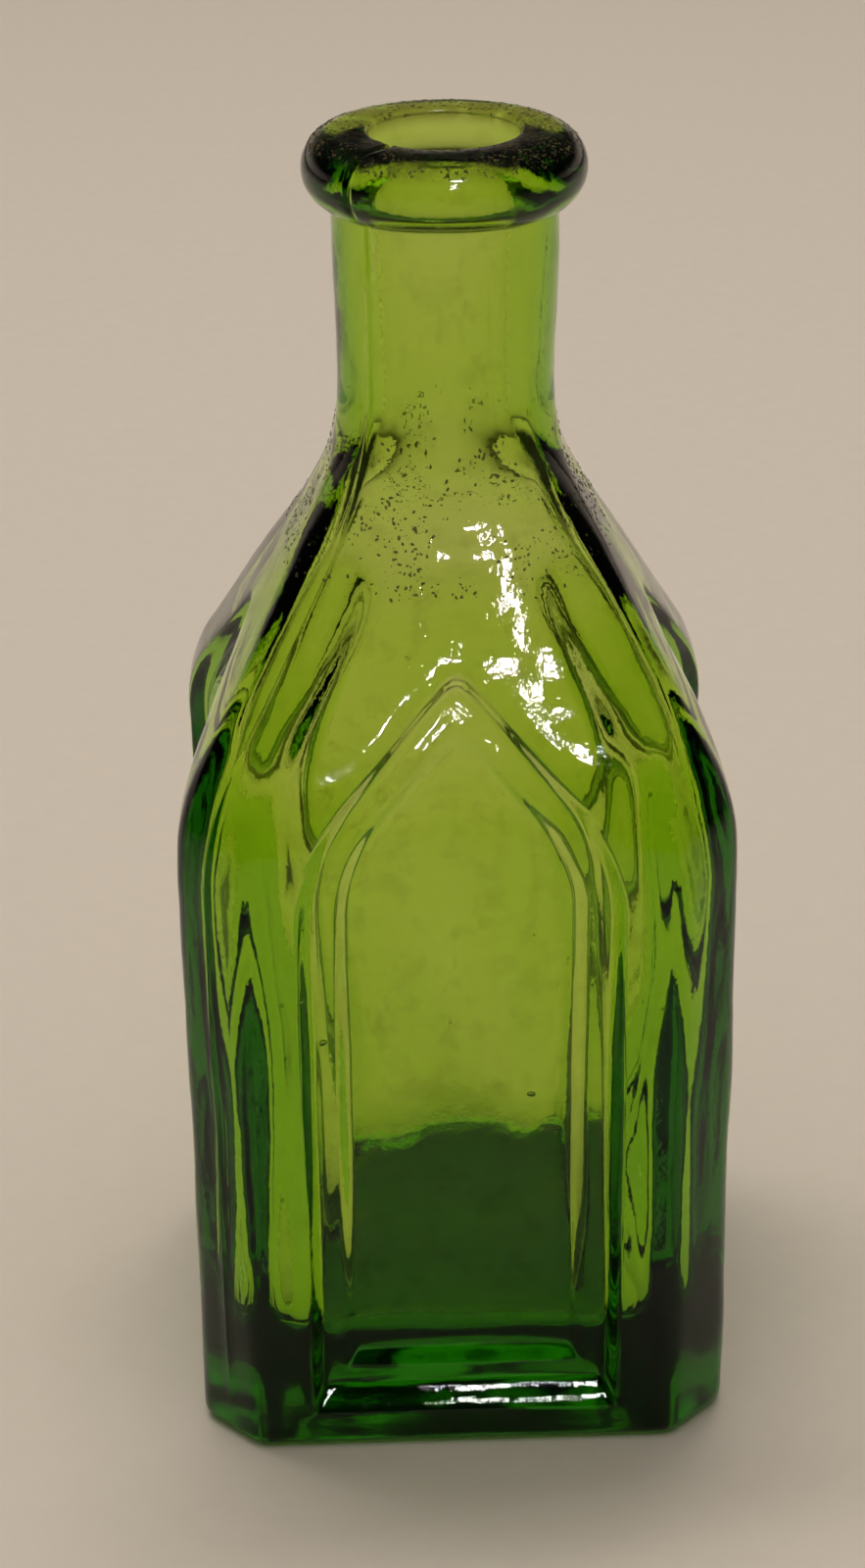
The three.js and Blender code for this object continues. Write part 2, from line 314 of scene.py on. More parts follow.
class ArchLine:
    """Outline of the panel: upright jamb, round haunch, straight rafter to the point."""

    def __init__(self, jamb, haunch_z, apex_z, haunch_round):
        self.jamb = jamb
        self.apex_z = apex_z
        self.haunch_round = haunch_round
        self.angle = math.atan2(jamb, apex_z - haunch_z)
        self.arc_start = haunch_z - haunch_round * math.tan(self.angle / 2)

    def half_width(self, z, inset):
        """Half-width of the outline set in by inset, which is below 0 above its point."""
        turned = self.haunch_round - inset
        rise = np.clip(z - self.arc_start, 0, turned)
        haunch = self.jamb - self.haunch_round + np.sqrt(turned**2 - rise**2)
        rafter = (self.apex_z - z) * math.tan(self.angle) - inset / math.cos(self.angle)
        return np.where(z <= self.arc_start + turned * math.sin(self.angle), haunch, rafter)

    def inside(self, x, z):
        """How far a place lies inside the outline, measured square to it."""
        away = np.sqrt(x**2 + POINT_ROUND**2)
        across = away - (self.jamb - self.haunch_round)
        up = z - self.arc_start
        turn = np.arctan2(up, across)
        jamb = self.jamb - away
        rafter = ((self.apex_z - z) * math.tan(self.angle) - away) * math.cos(self.angle)
        haunch = self.haunch_round - np.hypot(across, up)
        return np.where(turn <= 0, jamb, np.where(turn >= self.angle, rafter, haunch))


FACE_LINE = ShoulderLine(HALF_WIDTH, NECK_RADIUS, SHOULDER_Z, NECK_Z, SHOULDER_ROUND, NECK_FLARE)
CORNER_LINE = ShoulderLine(CORNER_DISTANCE, NECK_RADIUS, SHOULDER_Z, NECK_Z, SHOULDER_ROUND, NECK_FLARE)
INSIDE_LINE = ShoulderLine(
    HALF_WIDTH - SIDE_WALL,
    BORE_RADIUS,
    SHOULDER_Z + INSIDE_SHOULDER_RISE,
    NECK_Z + INSIDE_NECK_RISE,
    INSIDE_ROUND,
    INSIDE_ROUND,
)
ARCH = ArchLine(PANEL_HALF_WIDTH, PANEL_HAUNCH_Z, PANEL_APEX_Z, PANEL_HAUNCH_ROUND)


def bevel(share):
    """A slope from 0 to 1 with both ends rounded."""
    start = np.logaddexp(0, BEVEL_SOFTNESS * share)
    end = np.logaddexp(0, BEVEL_SOFTNESS * (share - 1))
    return (start - end) / BEVEL_SOFTNESS


def soft_least(first, second):
    """The lesser of two values, rounded where they cross."""
    return -np.logaddexp(-MITRE_SOFTNESS * first, -MITRE_SOFTNESS * second) / MITRE_SOFTNESS


def panel_depth(x, z):
    """How deep the two steps of the panel lie below the side at a place on it."""
    side = ARCH.inside(x, z)
    outer = soft_least(side / PANEL_BEVEL, (z - PANEL_SILL_Z) / PANEL_DEPTH)
    inner_sill_z = PANEL_SILL_Z + BAND_SILL_RISE
    inner = soft_least((side - BAND_WIDTH) / INNER_BEVEL, (z - inner_sill_z) / INNER_SILL_RUN)
    return PANEL_DEPTH * bevel(outer) + INNER_DEPTH * bevel(inner)


def flat_reach(face, corner, soft):
    """Half-length of the flat of a side on a level outline with rounded corners."""
    core = face - soft
    core_corner = np.minimum(corner - soft, core * math.sqrt(2))
    return np.maximum(core_corner * math.sqrt(2) - core, 0)


def outline_length(face, corner, soft):
    """Length of a level outline from the middle of a side to the middle of a corner."""
    flat = flat_reach(face, corner, soft)
    return flat + soft * math.pi / 4 + (face - soft - flat) / math.sqrt(2)


def outline(reach, face, corner, soft):
    """Places along a side and out from the axis, at distances along a level outline."""
    flat = flat_reach(face, corner, soft)
    turn = np.clip((reach - flat) / soft, 0, math.pi / 4)
    beyond = np.maximum(reach - flat - soft * math.pi / 4, 0) / math.sqrt(2)
    along = np.minimum(reach, flat) + soft * np.sin(turn) + beyond
    out = face - soft + soft * np.cos(turn) - beyond
    return along, out


INNER_START = BAND_WIDTH + INNER_BEVEL + EDGE_REACH
INNER_END = BAND_WIDTH - EDGE_REACH
OUTER_START = PANEL_BEVEL + EDGE_REACH
STEP_INSETS = np.concatenate(
    [
        np.linspace(INNER_START, INNER_END, BEVEL_COLUMNS, endpoint=False),
        np.linspace(INNER_END, OUTER_START, BAND_COLUMNS, endpoint=False),
        np.linspace(OUTER_START, -EDGE_REACH, BEVEL_COLUMNS + 1),
    ]
)
COLUMNS = FIELD_COLUMNS + len(STEP_INSETS) + MARGIN_COLUMNS + ROUND_COLUMNS + len(CORNER_SHARES) - 1
EVEN_SHARES = np.arange(COLUMNS + 1) / COLUMNS


def column_reaches(z, face, corner, soft):
    """Distances along each level outline at which the mesh has its columns.

    They follow the edges of the panel, and spread out evenly above its point.
    """
    steps = ARCH.half_width(z, STEP_INSETS)
    tip = TIP_SPACING * (FIELD_COLUMNS + np.arange(len(STEP_INSETS)))
    steps = (steps + tip + np.sqrt((steps - tip) ** 2 + TIP_SPACING**2)) / 2
    field = steps[:, :1] * np.arange(FIELD_COLUMNS) / FIELD_COLUMNS
    flat = flat_reach(face, corner, soft)
    length = outline_length(face, corner, soft)
    shares = np.arange(1, MARGIN_COLUMNS + 1) / MARGIN_COLUMNS
    margin = steps[:, -1:] + (flat - steps[:, -1:]) * shares
    arc = soft * math.pi / 4
    turned = flat + arc * np.arange(1, ROUND_COLUMNS + 1) / ROUND_COLUMNS
    cut = flat + arc + (length - flat - arc) * CORNER_SHARES
    fitted = np.concatenate([field, steps, margin, turned, cut], axis=1)
    loose = smooth_step((z - PANEL_APEX_Z) / (NECK_Z - PANEL_APEX_Z))
    return fitted * (1 - loose) + length * EVEN_SHARES * loose


def mirrored(half, sign=1):
    """A whole side from its right half, without the last column, where the next side starts."""
    return np.concatenate([sign * half[:, :0:-1], half[:, :-1]], axis=1)


def all_round(along, out, z, depth=None):
    """Points of whole rings from one half side, mirrored and turned to the four sides.

    depth is cut into the sides that carry a panel.
    """
    along = mirrored(along, -1)
    plain = mirrored(out)
    cut = plain if depth is None else plain - mirrored(depth)
    quarters = []
    for side in range(SIDES):
        turn = side * 2 * math.pi / SIDES
        away = cut if side in PANELLED_SIDES else plain
        x = along * math.cos(turn) + away * math.sin(turn)
        y = along * math.sin(turn) - away * math.cos(turn)
        quarters.append(np.stack([x, y, np.broadcast_to(z, x.shape)], axis=2))
    return np.concatenate(quarters, axis=1)


def levels(*stretches):
    """Heights of mesh rows: each stretch is first, last and step, without its last."""
    rows = []
    for first, last, step in stretches:
        rows.append(np.linspace(first, last, round((last - first) / step), endpoint=False))
    return np.concatenate(rows)[:, None]


def outside_rows():
    """Body, shoulder and neck up to the lip's seat."""
    z = levels(
        (HEEL_ROUND, SILL_ROWS_LOW_Z, HEEL_ROW_STEP),
        (SILL_ROWS_LOW_Z, SILL_ROWS_TOP_Z, SILL_ROW_STEP),
        (SILL_ROWS_TOP_Z, ARCH_ROWS_LOW_Z, JAMB_ROW_STEP),
        (ARCH_ROWS_LOW_Z, ARCH_ROWS_TOP_Z, ARCH_ROW_STEP),
        (ARCH_ROWS_TOP_Z, FACE_LINE.arc_end, SHOULDER_ROW_STEP),
        (FACE_LINE.arc_end, NECK_ROWS_TOP_Z, NECK_ROW_STEP),
    )
    face = FACE_LINE.at(z)
    corner = CORNER_LINE.at(z)
    share = (face - NECK_RADIUS) / (HALF_WIDTH - NECK_RADIUS)
    crisp = np.sqrt(np.clip(share / FACET_FADE, 0, 1))
    soft = NECK_RADIUS + (EDGE_ROUND - NECK_RADIUS) * crisp
    reach = column_reaches(z, face, corner, soft)
    along, out = outline(reach, face, corner, soft)
    facet_half = flat_reach(face, corner, soft) + soft * math.sin(math.pi / 4)
    bulge = FACET_BULGE * smooth_step((z - SHOULDER_Z) / FACET_BULGE_RISE)
    bulge = bulge * smooth_step((NECK_Z - z) / FACET_BULGE_FALL)
    out = out + bulge * np.clip(1 - (along / facet_half) ** 2, 0, 1)
    depth = panel_depth(along, z)
    widening = (NECK_TOP_RADIUS / NECK_RADIUS - 1) * smooth_step((z - NECK_Z) / (SEAT_Z - NECK_Z))
    return all_round(along * (1 + widening), out * (1 + widening), z, depth)


def base_rows():
    """Dished underside and rounded heel, from near the middle outwards."""
    turn = np.linspace(0, math.pi / 2, HEEL_ROWS, endpoint=False)[:, None]
    inset = HEEL_ROUND * (1 - np.sin(turn))
    z = HEEL_ROUND * (1 - np.cos(turn))
    soft = np.maximum(EDGE_ROUND - inset, LEAST_EDGE_ROUND)
    face = HALF_WIDTH - inset
    corner = CORNER_DISTANCE - inset
    reach = column_reaches(z, face, corner, soft)
    heel = all_round(*outline(reach, face, corner, soft), z)
    dish = heel[:1] * DISH_SHARES[:, None, None]
    radius = np.hypot(dish[..., 0], dish[..., 1])
    dish[..., 2] = PUSH_UP_DEPTH * smooth_step(1 - radius / PUSH_UP_RADIUS)
    return np.concatenate([dish, heel])


def round_rows(radius, z):
    """Round rings, such as those of the lip."""
    angle = EVEN_SHARES * math.pi / 4
    radius = radius[:, None]
    return all_round(radius * np.sin(angle), radius * np.cos(angle), z[:, None])


def lip_rows():
    """Step under the lip, its bead, the land on top and the rounded edge of the mouth."""
    half_height = (TOP_Z - SEAT_Z) / 2
    bead_centre = LIP_RADIUS - LIP_BEAD_HALF_WIDTH
    seat_radius = NECK_TOP_RADIUS + LIP_STEP
    low_turn = -math.acos((seat_radius - bead_centre) / LIP_BEAD_HALF_WIDTH)
    turn = np.linspace(low_turn, math.pi / 2, BEAD_ROWS)
    bead_radius = bead_centre + LIP_BEAD_HALF_WIDTH * np.cos(turn)
    bead_z = SEAT_Z + half_height * (1 + np.sin(turn))
    edge = np.linspace(0, math.pi / 2, MOUTH_EDGE_ROWS)
    edge_radius = MOUTH_RADIUS + MOUTH_ROUND * (1 - np.sin(edge))
    edge_z = TOP_Z - MOUTH_ROUND * (1 - np.cos(edge))
    radius = np.concatenate([NECK_TOP_RADIUS + STEP_OUT, bead_radius, edge_radius])
    z = np.concatenate([SEAT_Z + STEP_UP, bead_z, edge_z])
    return round_rows(radius, z)


def inside_outline(face, z):
    """Rings of the hollow: a rounded square that becomes the round bore."""
    share = (face - BORE_RADIUS) / (INSIDE_LINE.body - BORE_RADIUS)
    soft = BORE_RADIUS + (INSIDE_CORNER_ROUND - BORE_RADIUS) * share
    corner = (face - soft) * math.sqrt(2) + soft
    cut = smooth_step((z - SHOULDER_Z) / CUT_RISE) * smooth_step((CUT_TOP_Z - z) / CUT_FALL)
    soft = soft * (1 - CUT_CRISPNESS * cut)
    corner = corner - INSIDE_CORNER_CUT * cut
    reach = outline_length(face, corner, soft) * EVEN_SHARES
    along, out = outline(reach, face, corner, soft)
    belly = SIDE_BELLY * smooth_step((z - BELLY_LOW_Z) / BELLY_RISE)
    belly = belly * smooth_step((BELLY_TOP_Z - z) / BELLY_FALL)
    out = out + belly * np.clip(1 - (along / BELLY_HALF_WIDTH) ** 2, 0, 1)
    return all_round(along, out, z)


def inside_rows():
    """The hollow, from the mouth down to the middle of its floor."""
    floor_z = BASE_THICKNESS + INSIDE_FLOOR_ROUND
    z = levels(
        (floor_z, INSIDE_LINE.arc_start, INSIDE_ROW_STEP),
        (INSIDE_LINE.arc_start, INSIDE_LINE.arc_end, INSIDE_SHOULDER_ROW_STEP),
        (INSIDE_LINE.arc_end, TOP_Z - 2 * MOUTH_ROUND, BORE_ROW_STEP),
    )[::-1]
    wall = inside_outline(INSIDE_LINE.at(z), z)
    taper = np.clip((z - TOP_Z + MOUTH_ROUND) / MOUTH_TAPER + 1, 0, 1)
    wall[..., :2] *= 1 + (MOUTH_RADIUS / BORE_RADIUS - 1) * taper[..., None]
    turn = np.linspace(math.pi / 2, 0, INSIDE_FLOOR_ROWS + 1)[1:, None]
    inset = INSIDE_FLOOR_ROUND * (1 - np.sin(turn))
    bend_z = BASE_THICKNESS + INSIDE_FLOOR_ROUND * (1 - np.cos(turn))
    bend = inside_outline(INSIDE_LINE.body - inset, bend_z)
    ground = bend[-1:] * INSIDE_FLOOR_SHARES[:, None, None]
    ground[..., 2] = BASE_THICKNESS
    return np.concatenate([wall, bend, ground])


def ripple(points, length, seed):
    """A smooth uneven height over the points, mostly between -1 and 1."""
    draw = np.random.default_rng(seed)
    total = np.zeros(points.shape[:-1])
    for _ in range(WAVES_SUMMED):
        heading = draw.normal(size=3)
        wave_length = length * draw.uniform(*WAVE_LENGTH_SPREAD)
        heading *= 2 * math.pi / (wave_length * np.linalg.norm(heading))
        total += np.sin(points @ heading + draw.uniform(0, 2 * math.pi))
    return total / math.sqrt(WAVES_SUMMED)


def waves(points, kinds):
    """Sum of several kinds of waves, each with its height, length and seed."""
    return sum(height * ripple(points, length, seed) for height, length, seed in kinds)


def stretched(points, share):
    """The points with their heights scaled, so that waves over them run upright."""
    return points * np.array([1, 1, share])


def facing(points):
    """Outward direction at each point of the grid."""
    around = np.roll(points, -1, axis=1) - np.roll(points, 1, axis=1)
    onward = np.gradient(points, axis=0)
    normal = np.cross(around, onward)
    return normal / np.maximum(np.linalg.norm(normal, axis=2, keepdims=True), TINY)


def seam_height(points):
    """Raised line that the mould's two halves leave along two opposite corners, and the fold in the lip."""
    x, y, z = points[..., 0], points[..., 1], points[..., 2]
    folded = smooth_step((z - FOLD_START_Z) / FOLD_RUN)
    turn = FOLD_TURN * folded + math.pi / 4
    across = x * np.cos(turn) - y * np.sin(turn)
    ahead = smooth_step(-(x + y) / FOLD_FADE)
    height = SEAM_HEIGHT * (1 - folded) - FOLD_DEPTH * folded * ahead
    return height * np.exp(-((across / SEAM_WIDTH) ** 2))


def corner_streaks(hollow):
    """Upright runs of thick and thin glass in the corners of the hollow."""
    across = np.abs(hollow[..., :2])
    z = hollow[..., 2]
    cornered = across.min(axis=2) / np.maximum(across.max(axis=2), TINY)
    share = smooth_step((cornered - STREAK_CORNER_START) / STREAK_CORNER_RUN)
    share *= smooth_step((z - BASE_THICKNESS) / STREAK_FOOT_RUN)
    share *= smooth_step((STREAK_TOP_Z - z) / STREAK_TOP_RUN)
    return share * STREAK_HEIGHT * ripple(stretched(hollow, STREAK_STRETCH), STREAK_LENGTH, STREAK_SEED)


def glass_rows():
    """The whole skin of the bottle as rings: base, outside, lip, then down the inside to its floor.

    Also gives the first row of the outside and the first row of the inside.
    """
    base = base_rows()
    skin = np.concatenate([outside_rows(), lip_rows()])
    hollow = inside_rows()
    skin_height = waves(skin, OUTSIDE_WAVES)
    skin_height *= 1 - LIP_CALM * smooth_step((skin[..., 2] - SEAT_Z) / LIP_CALM_RUN)
    skin_height += seam_height(skin)
    skin_height *= smooth_step((skin[..., 2] - HEEL_ROUND) / HEEL_CALM_RUN)
    hollow_height = waves(stretched(hollow, INSIDE_STRETCH), INSIDE_WAVES)
    hollow_height += corner_streaks(hollow)
    hollow_height *= 1 - BORE_CALM + BORE_CALM * smooth_step((NECK_Z - hollow[..., 2]) / BORE_CALM_RUN)
    rows = np.concatenate([base, skin, hollow])
    height = np.concatenate([np.zeros(base.shape[:-1]), skin_height, hollow_height])
    start, end = len(base), len(base) + len(skin)
    return rows + facing(rows) * height[..., None], start, end


def grid_mesh(name, rows, closed):
    """Mesh through rings; a closed one gets a point in the middle of its first and last ring."""
    count, around = rows.shape[:2]
    points = rows.reshape(-1, 3)
    level, column = np.meshgrid(np.arange(count - 1), np.arange(around), indexing="ij")
    first = level * around + column
    second = level * around + (column + 1) % around
    quads = np.stack([first, second, second + around, first + around], axis=2).reshape(-1, 4)
    faces = quads.tolist()
    if closed:
        start, end = len(points), len(points) + 1
        last = (count - 1) * around
        points = np.concatenate([points, rows[:1].mean(axis=1), rows[-1:].mean(axis=1)])
        for i in range(around):
            after = (i + 1) % around
            faces.append([start, after, i])
            faces.append([end, last + i, last + after])
    mesh = bpy.data.meshes.new(name)
    mesh.from_pydata(points.tolist(), [], faces)
    mesh.polygons.foreach_set("use_smooth", np.ones(len(faces), bool))
    mesh.update()
    return mesh


def put(name, data):
    """An object at the origin that holds a mesh, a lamp or a camera."""
    thing = bpy.data.objects.new(name, data)
    bpy.context.scene.collection.objects.link(thing)
    return thing


class Wire:
    """A socket that can stand in a sum: each operator adds its Math node."""

    def __init__(self, bench, socket):
        self.bench = bench
        self.socket = socket

    def maths(self, operation, first, second):
        return self.bench.node("ShaderNodeMath", {"operation": operation}, {0: first, 1: second})

    def __add__(self, other):
        return self.maths("ADD", self, other)

    def __radd__(self, other):
        return self.maths("ADD", other, self)

    def __sub__(self, other):
        return self.maths("SUBTRACT", self, other)

    def __rsub__(self, other):
        return self.maths("SUBTRACT", other, self)

    def __mul__(self, other):
        return self.maths("MULTIPLY", self, other)

    def __rmul__(self, other):
        return self.maths("MULTIPLY", other, self)

    def __rtruediv__(self, other):
        return self.maths("DIVIDE", other, self)

    def beside(self, output):
        """Another output of the same node."""
        return Wire(self.bench, self.socket.node.outputs[output])

    def ramp(self, low, high):
        """0 up to low, 1 from high, smooth between."""
        limits = {"Value": self, "From Min": low, "From Max": high}
        return self.bench.node("ShaderNodeMapRange", {"interpolation_type": "SMOOTHSTEP"}, limits)


class Bench:
    """A node tree to which nodes are added one by one."""

    # Sockets that share their names with others on the same node: colours of Mix, numbers of Random Value
    MIX_SHARE, MIX_FIRST, MIX_SECOND, MIX_RESULT = 0, 6, 7, 2
    RANDOM_LEAST, RANDOM_LARGEST, RANDOM_RESULT = 2, 3, 1

    def __init__(self, tree):
        self.tree = tree
        tree.nodes.clear()

    def node(self, kind, settings=None, inputs=None, output=0):
        """Adds a node with its settings and the values or links of its sockets, and gives one output."""
        made = self.tree.nodes.new(kind)
        for name, value in (settings or {}).items():
            setattr(made, name, value)
        for name, value in (inputs or {}).items():
            if isinstance(value, Wire):
                self.tree.links.new(value.socket, made.inputs[name])
            else:
                made.inputs[name].default_value = value
        if not made.outputs:
            return None
        return Wire(self, made.outputs[output])

    def colour_mix(self, share, first, second):
        inputs = {self.MIX_SHARE: share, self.MIX_FIRST: first, self.MIX_SECOND: second}
        return self.node("ShaderNodeMix", {"data_type": "RGBA"}, inputs, output=self.MIX_RESULT)

    def chance(self, seed, largest=1.0):
        """A random number from 0 to largest for each point."""
        kind = {"data_type": "FLOAT"}
        inputs = {self.RANDOM_LEAST: 0.0, self.RANDOM_LARGEST: largest, "Seed": seed}
        return self.node("FunctionNodeRandomValue", kind, inputs, output=self.RANDOM_RESULT)

    def place(self):
        return self.node("ShaderNodeTexCoord", output="Object")

    def part_of(self, vector, axis):
        return self.node("ShaderNodeSeparateXYZ", {}, {"Vector": vector}, output=axis)

    def noise(self, size, detail=2.0):
        """Noise over the object, with patches of about this size."""
        inputs = {"Vector": self.place(), "Scale": 1 / size, "Detail": detail}
        return self.node("ShaderNodeTexNoise", {}, inputs)

    def finish(self, look, depth=None):
        """Ends a material with a Principled surface and, for glass, what fills it."""
        ends = {"Surface": self.node("ShaderNodeBsdfPrincipled", {}, look)}
        if depth is not None:
            ends["Volume"] = depth
        self.node("ShaderNodeOutputMaterial", {}, ends)


def new_material(name):
    material = bpy.data.materials.new(name)
    material.use_nodes = True
    return material, Bench(material.node_tree)


def olive_glass():
    """Clear green glass: the colour lies in its depth, the surface is glossy and faintly pebbled, and the
    underside carries a green tint of painted shade.
    """
    material, bench = new_material("olive_glass")
    relief = bench.noise(PEBBLE_SIZE) + GRAIN_SHARE * bench.noise(GRAIN_SIZE)
    pebbles = {"Strength": PEBBLE_STRENGTH, "Distance": PEBBLE_HEIGHT, "Height": relief}
    bump = bench.node("ShaderNodeBump", {}, pebbles)
    height = bench.part_of(bench.place(), "Z")
    film = bench.noise(FILM_SIZE, detail=4.0).ramp(*FILM_PATCHES)
    grime = bench.noise(GRIME_SIZE, detail=4.0).ramp(*GRIME_PATCHES)
    grime = grime * height.ramp(GRIME_LOW_Z, GRIME_FULL_Z)
    smudge = bench.noise(SMUDGE_SIZE, detail=5.0).ramp(*SMUDGE_PATCHES)
    # Mask of the underside: the roughness it adds is wear, the green tint it carries is painted shade
    wear_and_shade = 1 - height.ramp(WEAR_AND_SHADE_FULL_Z, WEAR_AND_SHADE_TOP_Z)
    stained = GRIME_STAIN * grime + SMUDGE_STAIN * smudge
    roughness = CLEAR_ROUGHNESS + FILM_ROUGHNESS * film + GRIME_ROUGHNESS * grime + WORN_ROUGHNESS * wear_and_shade
    look = {
        # The base colour mixes the underside's painted shade with the real grime and smudges
        "Base Color": bench.colour_mix(stained, bench.colour_mix(wear_and_shade, CLEAR_TINT, UNDERSIDE_SHADE_TINT), GRIME_TINT),
        "Roughness": roughness,
        "IOR": GLASS_IOR,
        "Transmission Weight": 1.0,
        "Specular Tint": GLASS_MIRROR,
        "Normal": bump,
    }
    colour = {"Color": GLASS_COLOUR, "Density": GLASS_DENSITY}
    bench.finish(look, bench.node("ShaderNodeVolumeAbsorption", {}, colour))
    return material


def pale_paper():
    """Plain warm paper for the floor."""
    material, bench = new_material("pale_paper")
    fibre = bench.noise(PAPER_FIBRE_SIZE, detail=4.0)
    bench.finish({"Base Color": bench.colour_mix(fibre, PAPER_DARK, PAPER_LIGHT), "Roughness": 0.9})
    return material


def dry_dirt():
    """Brown crumbs of old dirt, which let some light past."""
    material, bench = new_material("dry_dirt")
    tone = bench.noise(DIRT_TONE_SIZE).ramp(*DIRT_TONES)
    colour = bench.colour_mix(tone, DIRT_DARK, DIRT_LIGHT)
    bench.finish({"Base Color": colour, "Roughness": 0.85, "Alpha": 0.6})
    return material


def seed_air():
    """Air of a bubble, seen from the glass around it."""
    material, bench = new_material("seed_air")
    look = {
        "Base Color": SEED_COLOUR,
        "Roughness": SEED_ROUGHNESS * bench.noise(SEED_GRAIN_SIZE),
        "IOR": 1 / GLASS_IOR,
        "Transmission Weight": 1.0,
    }
    bench.finish(look)
    return material


def scatter_tree():
    """Geometry nodes that scatter lumps over a sheet, in loose patches."""
    tree = bpy.data.node_groups.new("scattered_lumps", "GeometryNodeTree")
    wanted = {
        "Sheet": "NodeSocketGeometry",
        "Per square metre": "NodeSocketFloat",
        "Patch size": "NodeSocketFloat",
        "Patch start": "NodeSocketFloat",
        "Least radius": "NodeSocketFloat",
        "Largest radius": "NodeSocketFloat",
        "Flatness": "NodeSocketFloat",
        "Roundness": "NodeSocketInt",
        "Seed": "NodeSocketInt",
        "Finish": "NodeSocketMaterial",
    }
    for name, kind in wanted.items():
        tree.interface.new_socket(name, in_out="INPUT", socket_type=kind)
    tree.interface.new_socket("Lumps", in_out="OUTPUT", socket_type="NodeSocketGeometry")
    bench = Bench(tree)
    given = {name: bench.node("NodeGroupInput", output=name) for name in wanted}
    place = bench.node("GeometryNodeInputPosition")
    patches = {"Vector": place, "Scale": 1 / given["Patch size"], "Detail": 2.0}
    patch = bench.node("ShaderNodeTexNoise", {}, patches)
    patch = patch.ramp(given["Patch start"], given["Patch start"] + PATCH_EDGE)
    spread = {"Mesh": given["Sheet"], "Density": given["Per square metre"] * patch, "Seed": given["Seed"]}
    points = bench.node("GeometryNodeDistributePointsOnFaces", {}, spread)
    chance = bench.chance(given["Seed"])
    growth = given["Largest radius"] - given["Least radius"]
    radius = given["Least radius"] + growth * chance * chance
    angle = bench.chance(given["Seed"] + 1, 2 * math.pi)
    spin = bench.node("ShaderNodeCombineXYZ", {}, {"Z": angle})
    spin = bench.node("FunctionNodeEulerToRotation", {}, {"Euler": spin})
    axes = {"Rotation": points.beside("Rotation"), "Rotate By": spin}
    turn = bench.node("FunctionNodeRotateRotation", {"rotation_space": "LOCAL"}, axes)
    size = {"X": radius, "Y": radius * LUMP_NARROWNESS, "Z": radius * given["Flatness"]}
    size = bench.node("ShaderNodeCombineXYZ", {}, size)
    lump = bench.node("GeometryNodeMeshIcoSphere", {}, {"Radius": 1.0, "Subdivisions": given["Roundness"]})
    lump = bench.node("GeometryNodeSetShadeSmooth", {}, {"Geometry": lump})
    lumps = {"Points": points, "Instance": lump, "Rotation": turn, "Scale": size}
    lumps = bench.node("GeometryNodeInstanceOnPoints", {}, lumps)
    lumps = bench.node("GeometryNodeRealizeInstances", {}, {"Geometry": lumps})
    lumps = bench.node("GeometryNodeSetMaterial", {}, {"Geometry": lumps, "Material": given["Finish"]})
    bench.node("NodeGroupOutput", {}, {"Lumps": lumps})
    return tree


def scatter(name, sheet, tree, **values):
    """A piece made of lumps scattered over a sheet, as a plain mesh."""
    ground = put(name + "_sheet", sheet)
    modifier = ground.modifiers.new("lumps", "NODES")
    modifier.node_group = tree
    for socket in tree.interface.items_tree:
        key = socket.name.lower().replace(" ", "_")
        if key in values:
            modifier[socket.identifier] = values[key]
    seen = ground.evaluated_get(bpy.context.evaluated_depsgraph_get())
    mesh = bpy.data.meshes.new_from_object(seen)
    mesh.name = name
    bpy.data.objects.remove(ground)
    piece = put(name, mesh)
    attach(piece, "root")


def strip_mesh(name, rows, low, high):
    """The rings that lie between two heights, as a bare sheet."""
    heights = rows[..., 2].mean(axis=1)
    return grid_mesh(name, rows[(heights > low) & (heights < high)], closed=False)


def build_dirt(skin, tree):
    """Crumbs of dirt caught on the shoulder under the neck and on top of the lip."""
    finish = dry_dirt()
    scatter(
        "shoulder_dirt",
        strip_mesh("shoulder_strip", skin, SHOULDER_DIRT_LOW_Z, SHOULDER_DIRT_TOP_Z),
        tree,
        per_square_metre=1.4e7,
        patch_size=3.0 * MM,
        patch_start=0.41,
        least_radius=0.02 * MM,
        largest_radius=0.17 * MM,
        flatness=0.25,
        roundness=1,
        seed=3,
        finish=finish,
    )
    scatter(
        "lip_dirt",
        strip_mesh("lip_strip", skin, LIP_DIRT_LOW_Z, math.inf),
        tree,
        per_square_metre=2.5e7,
        patch_size=2.5 * MM,
        patch_start=0.35,
        least_radius=0.025 * MM,
        largest_radius=0.16 * MM,
        flatness=0.25,
        roundness=1,
        seed=5,
        finish=finish,
    )


def build_seeds(tree):
    """Small bubbles left in the wall of the body."""
    z = levels((SEEDS_LOW_Z, SHOULDER_Z, SEEDS_ROW_STEP))
    face = np.full_like(z, (INSIDE_LINE.body + HALF_WIDTH - PANEL_DEPTH - INNER_DEPTH) / 2)
    soft = np.full_like(z, EDGE_ROUND)
    corner = face * CORNER_DISTANCE / HALF_WIDTH
    reach = outline_length(face, corner, soft) * EVEN_SHARES
    middle = all_round(*outline(reach, face, corner, soft), z)
    scatter(
        "wall_seeds",
        grid_mesh("wall_middle", middle, closed=False),
        tree,
        per_square_metre=9000.0,
        patch_size=12.0 * MM,
        patch_start=0.3,
        least_radius=0.08 * MM,
        largest_radius=0.35 * MM,
        flatness=0.7,
        roundness=2,
        seed=8,
        finish=seed_air(),
    )


def build_bottle():
    """The glass as one closed skin, which stands for body and lip; gives the rings of its outside."""
    rows, start, end = glass_rows()
    bottle = put("glass_bottle", grid_mesh("glass_bottle", rows, closed=True))
    bottle.data.materials.append(olive_glass())
    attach(bottle, "root")
    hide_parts("bottle_body", "lip_ring")
    return rows[start:end]


